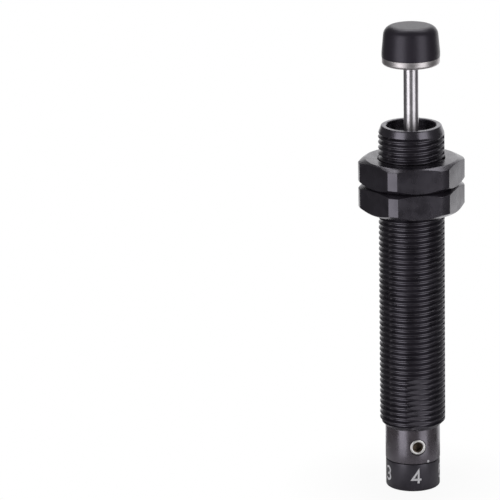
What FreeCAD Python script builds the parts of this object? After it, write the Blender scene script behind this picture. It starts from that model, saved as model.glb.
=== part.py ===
import FreeCAD, Part

import os
import re

import Sketcher
from FreeCAD import Vector

# Industrial shock absorber, M12 adjustable type, standing on its dial with the strike cap up.
# Lengths are in millimetres and angles in degrees. The Z axis is the rod's axis, +Z points to
# the cap, and the origin is the centre of the dial's outer face. The side with the lock screw
# faces -Y, and an angle "round the case" is counted from -Y towards +X.

SIZES = {
    # Outer tube: thread M12x1 over a plain bore, and a collar that holds the dial's spindle
    "thread_diameter": 12.0,
    "thread_length": 56.5,
    "thread_lead_in": 1.0,
    "rim_taper": 0.45,
    "rim_taper_length": 1.2,
    "mouth_chamfer": 0.15,
    "case_bore": 9.0,
    "collar_diameter": 10.0,
    "collar_length": 6.4,
    "collar_edge": 0.15,
    "tail_length": 7.7,
    "flats_across": 11.0,
    "flats_length": 10.3,
    # Adjusting dial
    "dial_diameter": 9.9,
    "dial_length": 5.2,
    "dial_gap": 0.1,
    "dial_edge": 0.3,
    "dial_turn_up": 241.9,
    "dial_turn_down": 46.1,
    # Adjusting spindle
    "stub_diameter": 4.4,
    "slot_width": 0.9,
    "slot_depth": 1.1,
    "journal_diameter": 6.0,
    "journal_end_gap": 0.4,
    "spindle_clearance": 0.02,
    "spindle_groove_height": 5.4,
    "nose_diameter": 3.0,
    "nose_end_gap": 0.2,
    "nose_chamfer": 0.2,
    "control_core_diameter": 2.1,
    "control_offset": 0.4,
    "control_width": 0.8,
    "feed_hole": 0.8,
    "feed_cross_hole": 0.6,
    # Lock screw, M3 with a dog point that runs in the spindle's lock groove
    "screw_diameter": 3.0,
    "screw_height": 3.22,
    "screw_angle": 11.1,
    "screw_recess": 0.08,
    "screw_chamfer": 0.2,
    "screw_clearance": 0.03,
    "point_diameter": 1.5,
    "point_length": 0.8,
    "point_clearance": 0.1,
    "socket_across": 1.5,
    "socket_floor": 0.82,
    "lock_groove_depth": 0.8,
    "lock_groove_margin": 20.0,
    # O-rings
    "seal_section": 0.8,
    "seal_cheek": 0.23,
    "seal_groove_width": 1.1,
    # Valve seat, the plug at the bottom of the bore
    "plug_flange_length": 2.2,
    "plug_groove_height": 0.5,
    "plug_neck_diameter": 6.8,
    "plug_neck_length": 2.8,
    "plug_spigot_length": 1.0,
    "slide_clearance": 0.02,
    "nose_pocket_depth": 4.6,
    "centre_port": 1.6,
    "cross_port": 1.0,
    "cross_port_height": 3.3,
    # Pressure tube
    "tube_bore": 6.0,
    "tube_wall": 0.7,
    "orifice_diameter": 0.5,
    # Rod bearing and the foam round its nose
    "bearing_spigot_length": 1.0,
    "bearing_flange_length": 1.2,
    "bearing_nose_length": 5.4,
    "bearing_nose_diameter": 5.2,
    "notch_width": 1.4,
    "notch_depth": 0.75,
    "foam_clearance": 0.1,
    # Gland, its seals and the snap ring
    "gland_length": 7.8,
    "gland_groove_height": 3.2,
    "gland_rod_clearance": 0.08,
    "seal_pocket_diameter": 6.0,
    "seal_pocket_depth": 2.1,
    "seal_lip": 0.35,
    "seal_cup_depth": 0.9,
    "wiper_pocket_diameter": 5.2,
    "wiper_pocket_depth": 1.4,
    "wiper_lip_rise": 0.4,
    "wiper_lip": 0.25,
    "ring_depth": 2.2,
    "ring_thickness": 0.6,
    "ring_groove_diameter": 9.7,
    "ring_band": 0.75,
    "ring_gap": 50.0,
    "lug_diameter": 1.5,
    "lug_hole": 0.7,
    # Piston rod, piston and their small parts
    "stroke": 11.05,
    "end_gap": 0.15,
    "piston_rest_gap": 0.1,
    "rod_diameter": 2.7,
    "rod_clearance": 0.02,
    "rod_neck_diameter": 1.8,
    "rod_tail_length": 0.5,
    "rod_edge": 0.15,
    "piston_length": 4.0,
    "piston_clearance": 0.03,
    "piston_groove_height": 1.2,
    "piston_groove_width": 1.3,
    "piston_groove_depth": 0.8,
    "piston_port_width": 0.9,
    "piston_port_depth": 0.55,
    "check_ring_thickness": 1.0,
    "check_ring_band": 0.6,
    "check_ring_gap": 10.0,
    "check_ring_clearance": 0.02,
    "clip_thickness": 0.4,
    "clip_groove_diameter": 1.3,
    "clip_diameter": 3.2,
    "clip_gap": 90.0,
    # Return spring
    "spring_wire": 0.5,
    "spring_diameter": 4.9,
    "spring_ease": 0.1,
    # Cap seat and bumper cap
    "seat_diameter": 10.4,
    "seat_thickness": 1.5,
    "seat_round": 0.6,
    "stud_diameter": 4.0,
    "stud_length": 2.8,
    "barb_diameter": 4.8,
    "barb_length": 1.3,
    "stud_tip_diameter": 3.2,
    "rod_grip": 1.6,
    "cap_length": 5.58,
    "cap_lip": 0.04,
    "cap_draft": 0.52,
    "cap_round": 1.3,
    # Mounting nuts
    "nut_across": 17.5,
    "nut_corner_diameter": 19.25,
    "nut_face_diameter": 17.0,
    "nut_chamfer_angle": 36.0,
    "nut_thickness": 4.75,
    "nut_countersink": 12.8,
    "nut_clearance": 0.03,
    "nut_gap": 0.03,
    "nut_setback": 6.1,
    "front_nut_turn": 9.3,
    "rear_nut_turn": 10.1,
}

# Whole numbers that the pieces are counted by
ORIFICE_COUNT = 5
NOTCH_COUNT = 4
PISTON_PORT_COUNT = 4
SPRING_HALF_TURNS = 12

# Radii and levels worked out from the sizes. Levels are counted up from the dial's outer face.
DERIVED = {
    "thread_radius": "thread_diameter / 2",
    "collar_radius": "collar_diameter / 2",
    "bore_radius": "case_bore / 2",
    "stub_radius": "stub_diameter / 2",
    "journal_radius": "journal_diameter / 2",
    "tail_bore_radius": "journal_radius + spindle_clearance",
    "nose_radius": "nose_diameter / 2",
    "plug_radius": "bore_radius - slide_clearance",
    "tube_bore_radius": "tube_bore / 2",
    "tube_spigot_radius": "tube_bore_radius - slide_clearance",
    "rod_radius": "rod_diameter / 2",
    "rod_run_radius": "rod_radius + rod_clearance",
    "rod_neck_radius": "rod_neck_diameter / 2",
    "seal_floor_radius": "bore_radius - seal_section",
    "collar_foot": "dial_length + dial_gap",
    "screw_level": "collar_foot + screw_height",
    "thread_foot": "collar_foot + collar_length",
    "bore_floor": "collar_foot + tail_length",
    "rim": "thread_foot + thread_length",
    "ring_top": "rim - ring_depth",
    "gland_top": "ring_top - ring_thickness",
    "gland_foot": "gland_top - gland_length",
    "gland_groove_foot": "gland_foot + gland_groove_height",
    "flange_top": "gland_foot - bearing_nose_length",
    "tube_top": "flange_top - bearing_flange_length",
    "plug_flange_top": "bore_floor + plug_flange_length",
    "plug_groove_foot": "bore_floor + plug_groove_height",
    "tube_foot": "plug_flange_top + plug_neck_length",
    "plug_top": "tube_foot + plug_spigot_length",
    "nose_pocket_top": "bore_floor + nose_pocket_depth",
    "cross_port_level": "bore_floor + cross_port_height",
    "journal_top": "bore_floor - journal_end_gap",
    "nose_top": "nose_pocket_top - nose_end_gap",
    "spindle_groove_foot": "collar_foot + spindle_groove_height",
    "spindle_floor_radius": "journal_radius - seal_section",
    "lock_floor_radius": "journal_radius - lock_groove_depth",
    "lock_groove_half": "point_diameter / 2 + point_clearance",
    "screw_shoulder": "lock_floor_radius + point_clearance + point_length",
    "piston_top": "tube_top - bearing_spigot_length - piston_rest_gap",
    "piston_foot": "piston_top - piston_length",
    "clip_foot": "piston_foot - clip_thickness",
    "rod_foot": "clip_foot - rod_tail_length",
    "piston_radius": "tube_bore_radius - piston_clearance",
    "piston_groove_foot": "piston_foot + piston_groove_height",
    "piston_groove_top": "piston_groove_foot + piston_groove_width",
    "check_ring_radius": "tube_bore_radius - check_ring_clearance",
    "seat_foot": "rim + stroke + end_gap",
    "seat_ease": "seat_round * (1 - sqrt(1 / 2))",
    "seat_top": "seat_foot + seat_thickness",
    "rod_top": "seat_top + rod_grip",
    "stud_top": "seat_top + stud_length",
    "barb_foot": "stud_top - barb_length",
    "cap_top": "seat_top + cap_length",
    "cap_skirt_radius": "seat_diameter / 2 + cap_lip",
    "cap_top_radius": "cap_skirt_radius - cap_draft",
    "front_nut_top": "rim - nut_setback",
    "front_nut_foot": "front_nut_top - nut_thickness",
    "rear_nut_foot": "front_nut_foot - nut_gap - nut_thickness",
    "nut_bore_radius": "thread_radius + nut_clearance",
    "spring_radius": "spring_diameter / 2",
    "spring_rise": "(piston_foot - plug_top - spring_wire - 2 * spring_ease) / SPRING_HALF_TURNS",
}

COUNTS = {"SPRING_HALF_TURNS": SPRING_HALF_TURNS}

# Largest difference at which an edge still counts as the one that is looked for
SAME = 0.001

doc = FreeCAD.newDocument("shock_absorber")
sheet = doc.addObject("Spreadsheet::Sheet", "dims")
for row, (alias, size) in enumerate(SIZES.items(), 1):
    sheet.set(f"A{row}", alias)
    sheet.set(f"B{row}", str(size))
    sheet.setAlias(f"B{row}", alias)
doc.recompute()


def expression(formula):
    """Write a formula of named sizes as an expression on the sheet's cells."""

    def spelt_out(found):
        word = found.group()
        if word in DERIVED:
            return f"({expression(DERIVED[word])})"
        if word in COUNTS:
            return str(COUNTS[word])
        return f"dims.{word}" if word in SIZES else word

    return re.sub(r"[A-Za-z_]+", spelt_out, formula)


def value(formula):
    """Work out a formula with the sizes that the sheet holds now."""
    return float(sheet.evalExpression(expression(formula)))


def new_body(name):
    """Start the body of one piece; its name is the piece's file name."""
    return doc.addObject("PartDesign::Body", name)


def new_sketch(body, name, plane, offset=None):
    """Lay an empty sketch on one of the body's own origin planes, moved by an offset formula."""
    sketch = body.newObject("Sketcher::SketchObject", name)
    origin_plane = next(item for item in body.Origin.OriginFeatures if item.Role == plane)
    sketch.AttachmentSupport = (origin_plane, [""])
    sketch.MapMode = "FlatFace"
    if offset:
        sketch.setExpression("AttachmentOffset", expression(offset))
    return sketch


def constrain(sketch, kind, formula, *ends):
    """Add one dimension to a sketch and bind it to the sheet."""
    number = sketch.addConstraint(Sketcher.Constraint(kind, *ends, value(formula)))
    sketch.setExpression(f"Constraints[{number}]", expression(formula))


def pin_point(sketch, item, point, place):
    """Hold one point of a sketch at a pair of formulas."""
    across, up = place
    if across == "0":
        sketch.addConstraint(Sketcher.Constraint("PointOnObject", item, point, -2))
    else:
        constrain(sketch, "DistanceX", across, -1, 1, item, point)
    if up == "0":
        sketch.addConstraint(Sketcher.Constraint("PointOnObject", item, point, -1))
    else:
        constrain(sketch, "DistanceY", up, -1, 1, item, point)


def draw_outline(sketch, places):
    """Draw one closed outline through places, each a pair of formulas."""
    corners = [Vector(value(across), value(up), 0) for across, up in places]
    first = sketch.GeometryCount
    count = len(corners)
    for step in range(count):
        sketch.addGeometry(Part.LineSegment(corners[step], corners[(step + 1) % count]), False)
    for step in range(count):
        after = first + (step + 1) % count
        sketch.addConstraint(Sketcher.Constraint("Coincident", first + step, 2, after, 1))
    for step, place in enumerate(places):
        pin_point(sketch, first + step, 1, place)


def draw_circle(sketch, centre, diameter):
    """Draw a circle round a pair of formulas."""
    middle = Vector(value(centre[0]), value(centre[1]), 0)
    item = sketch.addGeometry(Part.Circle(middle, Vector(0, 0, 1), value(diameter) / 2), False)
    pin_point(sketch, item, 3, centre)
    constrain(sketch, "Diameter", diameter, item)


def section(body, name, places, offset=None):
    """A half section in the XZ plane: radius across, level up."""
    sketch = new_sketch(body, name, "XZ_Plane", offset)
    draw_outline(sketch, places)
    return sketch


def revolve(body, kind, sketch, name, angle):
    """Sweep a half section round the Z axis, to add or to cut."""
    feature = body.newObject(f"PartDesign::{kind}", name)
    feature.Profile = sketch
    feature.ReferenceAxis = (sketch, ["V_Axis"])
    feature.setExpression("Angle", expression(angle))
    return feature


def turned(name, places, angle="360", offset=None):
    """A turned piece, made from its half section."""
    body = new_body(name)
    revolve(body, "Revolution", section(body, f"{name}_section", places, offset), f"{name}_turning", angle)
    return body


def turned_cut(body, name, places, angle="360", offset=None):
    """Cut a groove or a recess on the lathe."""
    return revolve(body, "Groove", section(body, f"{name}_section", places, offset), name, angle)


def extruded(body, kind, sketch, name, length, reverse=False):
    """Extrude a sketch, to add (Pad) or to cut (Pocket)."""
    feature = body.newObject(f"PartDesign::{kind}", name)
    feature.Profile = sketch
    feature.setExpression("Length", expression(length))
    feature.Reversed = reverse
    return feature


def round_edge(body, name, radius, level, size):
    """Round the circular edge that lies at a radius and a level."""
    doc.recompute()
    last = body.Tip
    found = [
        f"Edge{number}"
        for number, edge in enumerate(last.Shape.Edges, 1)
        if isinstance(edge.Curve, Part.Circle)
        and abs(edge.Curve.Radius - value(radius)) < SAME
        and abs(edge.Curve.Center.z - value(level)) < SAME
    ]
    fillet = body.newObject("PartDesign::Fillet", name)
    fillet.Base = (last, found)
    fillet.setExpression("Radius", expression(size))


def pattern(body, name, originals, count):
    """Repeat features evenly round the Z axis."""
    copies = body.newObject("PartDesign::PolarPattern", name)
    copies.Originals = originals
    copies.Axis = (originals[0].Profile[0], ["N_Axis"])
    copies.Angle = 360
    copies.Occurrences = count
    body.Tip = copies


def turned_by(angle):
    """The offset of an XZ sketch that is turned round the Z axis."""
    return f"placement(vector(0; 0; 0); rotation(vector(0; 1; 0); {angle}))"


def raised(level, angle="0"):
    """The offset of an XY sketch that is lifted to a level and turned."""
    return f"placement(vector(0; 0; {level}); rotation(vector(0; 0; 1); {angle}))"


def o_ring(name, floor, foot):
    """A rubber ring squeezed in its groove, so that it bears flat on the floor and on the bore."""
    level = f"({foot} + (seal_groove_width - seal_section) / 2)"
    turned(
        name,
        [
            (floor, f"{level} + seal_cheek"),
            (f"{floor} + seal_cheek", level),
            (f"{floor} + seal_section - seal_cheek", level),
            (f"{floor} + seal_section", f"{level} + seal_cheek"),
            (f"{floor} + seal_section", f"{level} + seal_section - seal_cheek"),
            (f"{floor} + seal_section - seal_cheek", f"{level} + seal_section"),
            (f"{floor} + seal_cheek", f"{level} + seal_section"),
            (floor, f"{level} + seal_section - seal_cheek"),
        ],
    )


def make_outer_tube():
    """Steel case: turned outside, bored from the front, and milled flat on two sides at the rear."""
    body = turned(
        "outer_tube",
        [
            ("tail_bore_radius", "collar_foot"),
            ("collar_radius - collar_edge", "collar_foot"),
            ("collar_radius", "collar_foot + collar_edge"),
            ("collar_radius", "thread_foot"),
            ("thread_radius", "thread_foot + thread_lead_in"),
            ("thread_radius", "rim - rim_taper_length"),
            ("thread_radius - rim_taper", "rim"),
            ("bore_radius + mouth_chamfer", "rim"),
            ("bore_radius", "rim - mouth_chamfer"),
            ("bore_radius", "bore_floor"),
            ("tail_bore_radius", "bore_floor"),
        ],
    )
    turned_cut(
        body,
        "snap_ring_groove",
        [
            ("bore_radius - ring_band", "gland_top"),
            ("ring_groove_diameter / 2", "gland_top"),
            ("ring_groove_diameter / 2", "ring_top"),
            ("bore_radius - ring_band", "ring_top"),
        ],
    )
    flats = new_sketch(body, "flats_outline", "XY_Plane", raised("thread_foot", "screw_angle"))
    for side in ("-", ""):
        draw_outline(
            flats,
            [
                ("-thread_radius", f"{side}flats_across / 2"),
                ("thread_radius", f"{side}flats_across / 2"),
                ("thread_radius", f"{side}thread_radius"),
                ("-thread_radius", f"{side}thread_radius"),
            ],
        )
    extruded(body, "Pocket", flats, "wrench_flats", "flats_length", reverse=True)
    hole = new_sketch(body, "screw_hole_outline", "XZ_Plane", turned_by("screw_angle"))
    draw_circle(hole, ("0", "screw_level"), "screw_diameter + 2 * screw_clearance")
    extruded(body, "Pocket", hole, "screw_hole", "collar_radius", reverse=True)


def make_dial():
    """Numbered ring that is pressed on the spindle's stub."""
    turned(
        "adjusting_dial",
        [
            ("stub_radius", "0"),
            ("dial_diameter / 2 - dial_edge", "0"),
            ("dial_diameter / 2", "dial_edge"),
            ("dial_diameter / 2", "dial_length - collar_edge"),
            ("dial_diameter / 2 - collar_edge", "dial_length"),
            ("stub_radius", "dial_length"),
        ],
    )


def make_spindle():
    """Steel spindle: slotted stub, journal with a part-turn lock groove, and an eccentric valve nose."""
    body = turned(
        "adjusting_spindle",
        [
            ("0", "0"),
            ("stub_radius", "0"),
            ("stub_radius", "dial_length"),
            ("journal_radius", "dial_length"),
            ("journal_radius", "spindle_groove_foot"),
            ("spindle_floor_radius", "spindle_groove_foot"),
            ("spindle_floor_radius", "spindle_groove_foot + seal_groove_width"),
            ("journal_radius", "spindle_groove_foot + seal_groove_width"),
            ("journal_radius", "journal_top"),
            ("nose_radius", "journal_top"),
            ("nose_radius", "nose_top - nose_chamfer"),
            ("nose_radius - nose_chamfer", "nose_top"),
            ("0", "nose_top"),
        ],
    )
    slot = new_sketch(body, "slot_outline", "XY_Plane")
    draw_outline(
        slot,
        [
            ("-stub_radius", "-slot_width / 2"),
            ("stub_radius", "-slot_width / 2"),
            ("stub_radius", "slot_width / 2"),
            ("-stub_radius", "slot_width / 2"),
        ],
    )
    extruded(body, "Pocket", slot, "driver_slot", "slot_depth", reverse=True)
    # The groove ends where the dial's first and last numbers meet the index dot
    turned_cut(
        body,
        "lock_groove",
        [
            ("lock_floor_radius", "screw_level - lock_groove_half"),
            ("journal_radius + spindle_clearance", "screw_level - lock_groove_half"),
            ("journal_radius + spindle_clearance", "screw_level + lock_groove_half"),
            ("lock_floor_radius", "screw_level + lock_groove_half"),
        ],
        "dial_turn_up + dial_turn_down + 2 * lock_groove_margin",
        turned_by("screw_angle - 90 - dial_turn_up - lock_groove_margin"),
    )
    # An off-centre groove: its depth at the cross port changes as the dial turns
    ring = new_sketch(body, "control_outline", "XY_Plane", raised("cross_port_level - control_width / 2"))
    draw_circle(ring, ("0", "0"), "nose_diameter + control_offset")
    draw_circle(ring, ("control_offset", "0"), "control_core_diameter")
    extruded(body, "Pocket", ring, "control_groove", "control_width", reverse=True)
    feed = new_sketch(body, "feed_outline", "XY_Plane", raised("nose_top"))
    draw_circle(feed, ("0", "0"), "feed_hole")
    extruded(body, "Pocket", feed, "feed_bore", "nose_top - cross_port_level + feed_hole / 2")
    cross = new_sketch(body, "feed_cross_outline", "YZ_Plane")
    draw_circle(cross, ("0", "cross_port_level"), "feed_cross_hole")
    extruded(body, "Pocket", cross, "feed_cross_bore", "nose_radius")


def make_lock_screw():
    """Set screw, drawn along its own axis with the dog point at the bottom, then turned to face out."""
    body = turned(
        "lock_screw",
        [
            ("0", "screw_shoulder - point_length"),
            ("point_diameter / 2", "screw_shoulder - point_length"),
            ("point_diameter / 2", "screw_shoulder"),
            ("screw_diameter / 2 - screw_chamfer", "screw_shoulder"),
            ("screw_diameter / 2", "screw_shoulder + screw_chamfer"),
            ("screw_diameter / 2", "collar_radius - screw_recess - screw_chamfer"),
            ("screw_diameter / 2 - screw_chamfer", "collar_radius - screw_recess"),
            ("0", "collar_radius - screw_recess"),
        ],
    )
    socket = new_sketch(body, "socket_outline", "XY_Plane", raised("collar_radius - screw_recess"))
    draw_hexagon(socket, "socket_across")
    extruded(body, "Pocket", socket, "socket", "collar_radius - screw_recess - screw_shoulder - socket_floor")
    outward = "rotation(vector(0; 0; 1); screw_angle) * rotation(vector(1; 0; 0); 90)"
    body.setExpression("Placement", expression(f"placement(vector(0; 0; screw_level); {outward})"))


def draw_hexagon(sketch, across):
    """Draw a regular hexagon with a corner on the sketch's X axis."""
    corner = f"{across} / sqrt(3)"
    draw_outline(
        sketch,
        [
            (corner, "0"),
            (f"{corner} / 2", f"{across} / 2"),
            (f"-{corner} / 2", f"{across} / 2"),
            (f"-{corner}", "0"),
            (f"-{corner} / 2", f"-{across} / 2"),
            (f"{corner} / 2", f"-{across} / 2"),
        ],
    )


def make_valve_seat():
    """Steel plug on the floor of the bore, with the oil's way from the tube to the spindle's nose."""
    body = turned(
        "valve_seat",
        [
            ("nose_radius + spindle_clearance", "bore_floor"),
            ("plug_radius", "bore_floor"),
            ("plug_radius", "plug_groove_foot"),
            ("seal_floor_radius", "plug_groove_foot"),
            ("seal_floor_radius", "plug_groove_foot + seal_groove_width"),
            ("plug_radius", "plug_groove_foot + seal_groove_width"),
            ("plug_radius", "plug_flange_top"),
            ("plug_neck_diameter / 2", "plug_flange_top"),
            ("plug_neck_diameter / 2", "tube_foot"),
            ("tube_spigot_radius", "tube_foot"),
            ("tube_spigot_radius", "plug_top"),
            ("centre_port / 2", "plug_top"),
            ("centre_port / 2", "nose_pocket_top"),
            ("nose_radius + spindle_clearance", "nose_pocket_top"),
        ],
    )
    port = new_sketch(body, "cross_port_outline", "YZ_Plane")
    draw_circle(port, ("0", "cross_port_level"), "cross_port")
    extruded(body, "Pocket", port, "cross_port_bore", "plug_radius")
    o_ring("valve_seat_o_ring", "seal_floor_radius", "plug_groove_foot")


def make_pressure_tube():
    """Thin steel tube; its orifices lie closer together towards the end of the stroke."""
    body = turned(
        "pressure_tube",
        [
            ("tube_bore_radius", "tube_foot"),
            ("tube_bore_radius + tube_wall", "tube_foot"),
            ("tube_bore_radius + tube_wall", "tube_top"),
            ("tube_bore_radius", "tube_top"),
        ],
    )
    row = new_sketch(body, "orifice_outline", "YZ_Plane")
    for number in range(1, ORIFICE_COUNT + 1):
        share = 1 - (1 - number / (ORIFICE_COUNT + 1)) ** 2
        draw_circle(row, ("0", f"piston_foot - stroke * {share:.4f}"), "orifice_diameter")
    extruded(body, "Pocket", row, "metering_orifices", "tube_bore_radius + tube_wall", reverse=True)


def make_rod_bearing():
    """Bronze bush: a spigot in the pressure tube, a notched flange in the case and a long nose."""
    body = turned(
        "rod_bearing",
        [
            ("rod_run_radius", "tube_top - bearing_spigot_length"),
            ("tube_spigot_radius", "tube_top - bearing_spigot_length"),
            ("tube_spigot_radius", "tube_top"),
            ("plug_radius", "tube_top"),
            ("plug_radius", "flange_top"),
            ("bearing_nose_diameter / 2", "flange_top"),
            ("bearing_nose_diameter / 2", "gland_foot"),
            ("rod_run_radius", "gland_foot"),
        ],
    )
    notch = new_sketch(body, "notch_outline", "XY_Plane", raised("tube_top"))
    draw_outline(
        notch,
        [
            ("bore_radius - notch_depth", "-notch_width / 2"),
            ("bore_radius", "-notch_width / 2"),
            ("bore_radius", "notch_width / 2"),
            ("bore_radius - notch_depth", "notch_width / 2"),
        ],
    )
    first = extruded(body, "Pocket", notch, "oil_notch", "bearing_flange_length", reverse=True)
    pattern(body, "oil_notches", [first], NOTCH_COUNT)
    turned(
        "accumulator_foam",
        [
            ("bearing_nose_diameter / 2 + foam_clearance", "flange_top"),
            ("bore_radius - foam_clearance", "flange_top"),
            ("bore_radius - foam_clearance", "gland_foot"),
            ("bearing_nose_diameter / 2 + foam_clearance", "gland_foot"),
        ],
    )


def make_gland():
    """Steel gland with a pocket for the rod seal below and one for the wiper above."""
    turned(
        "gland",
        [
            ("seal_pocket_diameter / 2", "gland_foot"),
            ("plug_radius", "gland_foot"),
            ("plug_radius", "gland_groove_foot"),
            ("seal_floor_radius", "gland_groove_foot"),
            ("seal_floor_radius", "gland_groove_foot + seal_groove_width"),
            ("plug_radius", "gland_groove_foot + seal_groove_width"),
            ("plug_radius", "gland_top"),
            ("wiper_pocket_diameter / 2", "gland_top"),
            ("wiper_pocket_diameter / 2", "gland_top - wiper_pocket_depth"),
            ("rod_radius + gland_rod_clearance", "gland_top - wiper_pocket_depth"),
            ("rod_radius + gland_rod_clearance", "gland_foot + seal_pocket_depth"),
            ("seal_pocket_diameter / 2", "gland_foot + seal_pocket_depth"),
        ],
    )
    o_ring("gland_o_ring", "seal_floor_radius", "gland_groove_foot")
    turned(
        "rod_seal",
        [
            ("rod_run_radius", "gland_foot"),
            ("rod_run_radius + seal_lip", "gland_foot"),
            ("(rod_run_radius + seal_pocket_diameter / 2) / 2", "gland_foot + seal_cup_depth"),
            ("seal_pocket_diameter / 2 - seal_lip", "gland_foot"),
            ("seal_pocket_diameter / 2", "gland_foot"),
            ("seal_pocket_diameter / 2", "gland_foot + seal_pocket_depth"),
            ("rod_run_radius", "gland_foot + seal_pocket_depth"),
        ],
    )
    turned(
        "wiper_ring",
        [
            ("rod_run_radius + seal_lip", "gland_top - wiper_pocket_depth"),
            ("wiper_pocket_diameter / 2", "gland_top - wiper_pocket_depth"),
            ("wiper_pocket_diameter / 2", "gland_top"),
            ("rod_run_radius + 2 * wiper_lip", "gland_top"),
            ("rod_run_radius + wiper_lip", "gland_top + wiper_lip_rise"),
            ("rod_run_radius", "gland_top + wiper_lip_rise"),
            ("rod_run_radius", "gland_top"),
        ],
    )


def make_snap_ring():
    """Spring steel ring for the case's inner groove: open on one side, with a lug at each end."""
    body = turned(
        "snap_ring",
        [
            ("bore_radius - ring_band", "gland_top"),
            ("ring_groove_diameter / 2", "gland_top"),
            ("ring_groove_diameter / 2", "ring_top"),
            ("bore_radius - ring_band", "ring_top"),
        ],
        "360 - ring_gap",
        turned_by("ring_gap / 2"),
    )
    lug_angle = "(ring_gap / 2 + asin(lug_diameter / (case_bore - lug_diameter)) / 1 deg)"
    centre = (
        f"(bore_radius - lug_diameter / 2) * cos({lug_angle})",
        f"(bore_radius - lug_diameter / 2) * sin({lug_angle})",
    )
    lug = new_sketch(body, "lug_outline", "XY_Plane", raised("gland_top"))
    draw_circle(lug, centre, "lug_diameter")
    pad = extruded(body, "Pad", lug, "lug", "ring_thickness")
    eye = new_sketch(body, "lug_hole_outline", "XY_Plane", raised("gland_top"))
    draw_circle(eye, centre, "lug_hole")
    hole = extruded(body, "Pocket", eye, "lug_eye", "ring_thickness", reverse=True)
    both = body.newObject("PartDesign::Mirrored", "lugs")
    both.Originals = [pad, hole]
    both.MirrorPlane = (lug, ["H_Axis"])
    body.Tip = both


def make_piston_rod():
    """Ground steel rod: neck for the piston, clip groove, and a plain end for the cap seat."""
    turned(
        "piston_rod",
        [
            ("0", "rod_foot"),
            ("rod_neck_radius - rod_edge", "rod_foot"),
            ("rod_neck_radius", "rod_foot + rod_edge"),
            ("rod_neck_radius", "clip_foot"),
            ("clip_groove_diameter / 2", "clip_foot"),
            ("clip_groove_diameter / 2", "piston_foot"),
            ("rod_neck_radius", "piston_foot"),
            ("rod_neck_radius", "piston_top"),
            ("rod_radius", "piston_top"),
            ("rod_radius", "rod_top - rod_edge"),
            ("rod_radius - rod_edge", "rod_top"),
            ("0", "rod_top"),
        ],
    )
    turned(
        "piston_clip",
        [
            ("clip_groove_diameter / 2", "clip_foot"),
            ("clip_diameter / 2", "clip_foot"),
            ("clip_diameter / 2", "piston_foot"),
            ("clip_groove_diameter / 2", "piston_foot"),
        ],
        "360 - clip_gap",
        turned_by("clip_gap / 2"),
    )


def make_piston():
    """Steel piston with a wide groove, where the split check ring floats, and ports above it."""
    floor = "(piston_radius - piston_groove_depth)"
    body = turned(
        "piston",
        [
            ("rod_neck_radius", "piston_foot"),
            ("piston_radius", "piston_foot"),
            ("piston_radius", "piston_groove_foot"),
            (floor, "piston_groove_foot"),
            (floor, "piston_groove_top"),
            ("piston_radius", "piston_groove_top"),
            ("piston_radius", "piston_top"),
            ("rod_neck_radius", "piston_top"),
        ],
    )
    port = new_sketch(body, "piston_port_outline", "XY_Plane", raised("piston_groove_top"))
    draw_outline(
        port,
        [
            ("piston_radius - piston_port_depth", "-piston_port_width / 2"),
            ("tube_bore_radius", "-piston_port_width / 2"),
            ("tube_bore_radius", "piston_port_width / 2"),
            ("piston_radius - piston_port_depth", "piston_port_width / 2"),
        ],
    )
    first = extruded(body, "Pocket", port, "piston_port", "piston_top - piston_groove_top", reverse=True)
    pattern(body, "piston_ports", [first], PISTON_PORT_COUNT)
    turned(
        "piston_check_ring",
        [
            ("check_ring_radius - check_ring_band", "piston_groove_foot"),
            ("check_ring_radius", "piston_groove_foot"),
            ("check_ring_radius", "piston_groove_foot + check_ring_thickness"),
            ("check_ring_radius - check_ring_band", "piston_groove_foot + check_ring_thickness"),
        ],
        "360 - check_ring_gap",
        turned_by("check_ring_gap / 2"),
    )


def make_return_spring():
    """Coil spring between the valve seat and the piston, as half turns that lean to and fro.

    Each half turn rises by the same step and meets the next one face to face, square to the Y
    axis. The first and the last half turn lie flat, like the closed ends of a real spring, and
    the leaning ones start a little off them. A turn that leans looks narrower from above, so the
    flat ones have the radius at which it ends. The wire is drawn with four sides.
    """
    body = new_body("return_spring")
    end_radius = "sqrt(spring_radius * spring_radius - spring_rise * spring_rise / 4)"
    lean = "asin(spring_rise / 2 / spring_radius)"
    for number in range(SPRING_HALF_TURNS + 2):
        flat = number in (0, SPRING_HALF_TURNS + 1)
        level = f"plug_top + spring_wire / 2 + spring_ease + spring_rise * {number - 0.5}"
        if flat:
            level = "piston_foot - spring_wire / 2" if number else "plug_top + spring_wire / 2"
        facing = 180 * ((number + 1) % 2)
        place = f"vector(0; {level}; 0)"
        tilt = "0" if flat else f"-{lean}"
        turn = f"rotation(vector(0; 1; 0); {facing}) * rotation(vector(0; 0; 1); {tilt})"
        centre = end_radius if flat else "spring_radius"
        side = "spring_wire / 2"
        wire = [
            (f"{centre} + {side}", side),
            (f"{centre} - {side}", side),
            (f"{centre} - {side}", f"-{side}"),
            (f"{centre} + {side}", f"-{side}"),
        ]
        half = section(body, f"wire_section_{number + 1}", wire, f"placement({place}; {turn})")
        revolve(body, "Revolution", half, f"half_turn_{number + 1}", "180")


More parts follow.
